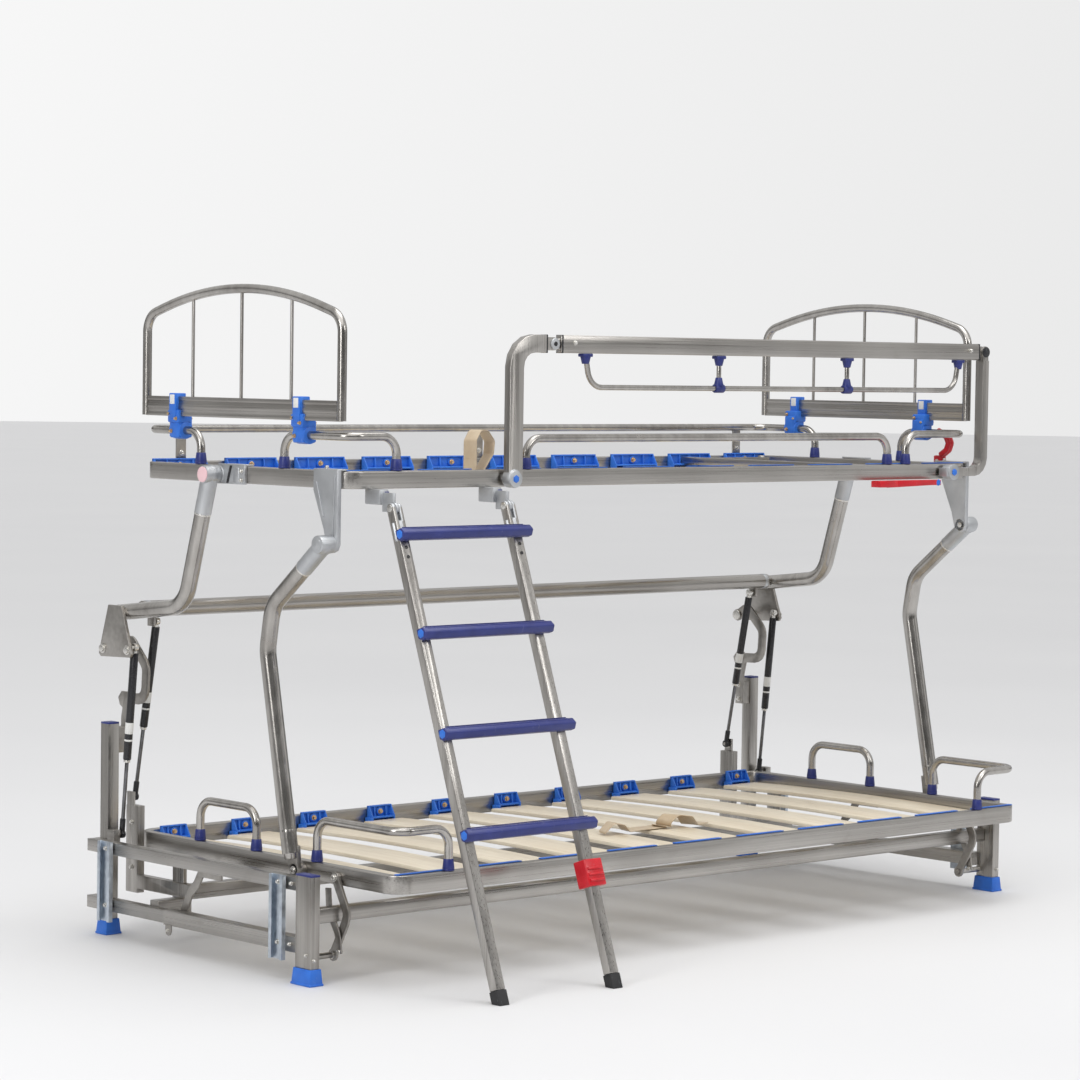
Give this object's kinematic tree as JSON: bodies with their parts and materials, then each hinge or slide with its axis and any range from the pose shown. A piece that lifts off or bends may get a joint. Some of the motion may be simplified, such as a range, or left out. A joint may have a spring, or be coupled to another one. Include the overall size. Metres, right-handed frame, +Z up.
{
  "type": "folding bunk bed",
  "caption": "Folding bunk bed of stainless tube with slatted berths, folding guard rail, hooked-on ladder, gas springs and fold-down head rails.",
  "frame": {"origin": "on the floor, below the middle of the bounding box", "axes": "+X along the beds, from the ladder end to the other end; +Y from the ladder side to the rear; +Z up"},
  "size_m": [2.132, 1.1988, 1.4118],
  "materials": {
    "steel": "brushed stainless tube",
    "cast": "bead-blasted casting",
    "sheet": "satin sheet steel",
    "blue": "moulded, satin",
    "navy": "moulded, satin",
    "red": "moulded, glossy",
    "black_rubber": "matt",
    "black": "black, satin",
    "rod": "dark polished rod",
    "wood": "bent beech laminate, lacquered",
    "webbing": "woven webbing"
  },
  "bodies": {
    "base": {"base_side_left": "steel", "base_side_right": "steel", "foot_front_left": "blue", "foot_front_right": "blue", "foot_rear_left": "blue", "foot_rear_right": "blue", "front_cross_tube": "steel", "rear_cross_frame": "steel", "hook_arm_left": "sheet", "hook_arm_right": "sheet", "bed_stay_left": "sheet", "bed_stay_right": "sheet", "lower_bed_frame": "steel", "lower_slat_deck": "wood", "lower_end_hoop_left": "steel", "lower_end_hoop_right": "steel", "lower_corner_hoop_left": "steel", "lower_corner_hoop_right": "steel", "strap_lower": "webbing"},
    "rear_frame": {"rear_support_left": "steel", "rear_support_right": "steel", "rear_cross_tube": "steel"},
    "upper_bed": {"upper_bed_frame": "steel", "upper_slat_deck": "wood", "upper_rear_hoop": "steel", "upper_corner_hoop_left": "steel", "upper_corner_hoop_right": "steel", "upper_front_hoop": "steel", "leg_bracket_left": "cast", "leg_bracket_right": "cast", "rear_clamp_left": "cast", "rear_clamp_right": "cast", "strap_upper": "webbing"},
    "front_leg_left": {"front_leg_left": "steel"},
    "headboard_left": {"headboard_left": "steel"},
    "outer_cylinder_left": {"outer_spring_cylinder_left": "black"},
    "outer_rod_left": {"outer_spring_rod_left": "rod"},
    "inner_cylinder_left": {"inner_spring_cylinder_left": "black"},
    "inner_rod_left": {"inner_spring_rod_left": "rod"},
    "front_leg_right": {"front_leg_right": "steel"},
    "headboard_right": {"headboard_right": "steel"},
    "outer_cylinder_right": {"outer_spring_cylinder_right": "black"},
    "outer_rod_right": {"outer_spring_rod_right": "rod"},
    "inner_cylinder_right": {"inner_spring_cylinder_right": "black"},
    "inner_rod_right": {"inner_spring_rod_right": "rod"},
    "guard_left_arm": {"guard_left_arm": "steel"},
    "guard_rail": {"guard_top_rail": "steel", "guard_loop": "steel"},
    "guard_right_arm": {"guard_right_arm": "steel"},
    "ladder": {"ladder_stile_left": "steel", "ladder_stile_right": "steel", "ladder_foot_left": "black_rubber", "ladder_foot_right": "black_rubber", "ladder_rung_1": "navy", "ladder_rung_2": "navy", "ladder_rung_3": "navy", "ladder_rung_4": "navy"},
    "ladder_clip": {"ladder_clip": "red"},
    "release_lever": {"release_lever": "red"},
    "lock_handle": {"lock_handle": "red"}
  },
  "joints": [
    {"name": "main_fold", "type": "hinge", "parent": "base", "child": "rear_frame", "pos_m": [0, 0.58337, 0.622], "axis": [-1, 0, 0], "range_deg": [0, 20]},
    {"name": "bed_tilt", "type": "hinge", "parent": "rear_frame", "child": "upper_bed", "pos_m": [0, 0.23537, 1.013], "axis": [-1, 0, 0], "range_deg": [-35.07, 0]},
    {"name": "leg_left_swing", "type": "hinge", "parent": "base", "child": "front_leg_left", "pos_m": [-0.99, -0.05663, 0.212], "axis": [-1, 0, 0], "range_deg": [0, 16.68]},
    {"name": "leg_right_swing", "type": "hinge", "parent": "base", "child": "front_leg_right", "pos_m": [0.99, -0.05663, 0.212], "axis": [-1, 0, 0], "range_deg": [0, 16.68]},
    {"name": "outer_spring_left_swing", "type": "hinge", "parent": "rear_frame", "child": "outer_cylinder_left", "pos_m": [-0.993, 0.49137, 0.631], "axis": [-1, 0, 0], "range_deg": [-18.5, 0]},
    {"name": "outer_spring_left_stroke", "type": "slide", "parent": "outer_cylinder_left", "child": "outer_rod_left", "axis": [0, 0.1022, -0.9948], "range_m": [0, 0.0302]},
    {"name": "inner_spring_left_swing", "type": "hinge", "parent": "rear_frame", "child": "inner_cylinder_left", "pos_m": [-0.923, 0.50937, 0.684], "axis": [-1, 0, 0], "range_deg": [-16.02, 0]},
    {"name": "inner_spring_left_stroke", "type": "slide", "parent": "inner_cylinder_left", "child": "inner_rod_left", "axis": [0, 0.1864, -0.9825], "range_m": [0, 0.0183]},
    {"name": "outer_spring_right_swing", "type": "hinge", "parent": "rear_frame", "child": "outer_cylinder_right", "pos_m": [0.993, 0.49137, 0.631], "axis": [-1, 0, 0], "range_deg": [-18.5, 0]},
    {"name": "outer_spring_right_stroke", "type": "slide", "parent": "outer_cylinder_right", "child": "outer_rod_right", "axis": [0, 0.1022, -0.9948], "range_m": [0, 0.0302]},
    {"name": "inner_spring_right_swing", "type": "hinge", "parent": "rear_frame", "child": "inner_cylinder_right", "pos_m": [0.923, 0.50937, 0.684], "axis": [-1, 0, 0], "range_deg": [-16.02, 0]},
    {"name": "inner_spring_right_stroke", "type": "slide", "parent": "inner_cylinder_right", "child": "inner_rod_right", "axis": [0, 0.1864, -0.9825], "range_m": [0, 0.0183]},
    {"name": "ladder_swing", "type": "hinge", "parent": "upper_bed", "child": "ladder", "pos_m": [-0.7325, -0.24463, 0.959], "axis": [-1, 0, 0], "range_deg": [0, 70.1]},
    {"name": "ladder_clip_slide", "type": "slide", "parent": "ladder", "child": "ladder_clip", "axis": [0, 0.3359, 0.9419], "range_m": [-0.12, 0.04]},
    {"name": "guard_fold", "type": "hinge", "parent": "upper_bed", "child": "guard_left_arm", "pos_m": [-0.529, -0.19863, 1.013], "axis": [0, -1, 0], "range_deg": [0, 75]},
    {"name": "guard_rail_level", "type": "hinge", "parent": "guard_left_arm", "child": "guard_rail", "pos_m": [-0.419, -0.19863, 1.297], "axis": [0, -1, 0], "range_deg": [-75.1, 0]},
    {"name": "guard_right_swing", "type": "hinge", "parent": "upper_bed", "child": "guard_right_arm", "pos_m": [0.864, -0.19863, 1.013], "axis": [0, -1, 0], "range_deg": [0, 75.1]},
    {"name": "headboard_left_fold", "type": "hinge", "parent": "upper_bed", "child": "headboard_left", "pos_m": [-0.95, 0.16837, 1.102], "axis": [0, 1, 0], "range_deg": [0, 55]},
    {"name": "headboard_right_fold", "type": "hinge", "parent": "upper_bed", "child": "headboard_right", "pos_m": [0.95, 0.16837, 1.102], "axis": [0, -1, 0], "range_deg": [0, 55]},
    {"name": "release_lever_pull", "type": "hinge", "parent": "upper_bed", "child": "release_lever", "pos_m": [0.814, -0.19663, 0.989], "axis": [0, -1, 0], "range_deg": [0, 22]},
    {"name": "lock_handle_turn", "type": "hinge", "parent": "upper_bed", "child": "lock_handle", "pos_m": [0.971, -0.07463, 1.026], "axis": [1, 0, 0], "range_deg": [0, 28]}
  ],
  "couplings": [
    {"joint": "bed_tilt", "follows": "main_fold", "ratio": -1.7526},
    {"joint": "leg_left_swing", "follows": "main_fold", "ratio": 0.833},
    {"joint": "leg_right_swing", "follows": "main_fold", "ratio": 0.833},
    {"joint": "outer_spring_left_swing", "follows": "main_fold", "ratio": -0.924},
    {"joint": "outer_spring_left_stroke", "follows": "main_fold", "m_per_rad": 0.0859},
    {"joint": "inner_spring_left_swing", "follows": "main_fold", "ratio": -0.7999},
    {"joint": "inner_spring_left_stroke", "follows": "main_fold", "m_per_rad": 0.0519},
    {"joint": "outer_spring_right_swing", "follows": "main_fold", "ratio": -0.924},
    {"joint": "outer_spring_right_stroke", "follows": "main_fold", "m_per_rad": 0.0859},
    {"joint": "inner_spring_right_swing", "follows": "main_fold", "ratio": -0.7999},
    {"joint": "inner_spring_right_stroke", "follows": "main_fold", "m_per_rad": 0.0519},
    {"joint": "ladder_swing", "follows": "main_fold", "ratio": 3.5},
    {"joint": "guard_rail_level", "follows": "guard_fold", "ratio": -1},
    {"joint": "guard_right_swing", "follows": "guard_fold", "ratio": 1}
  ]
}
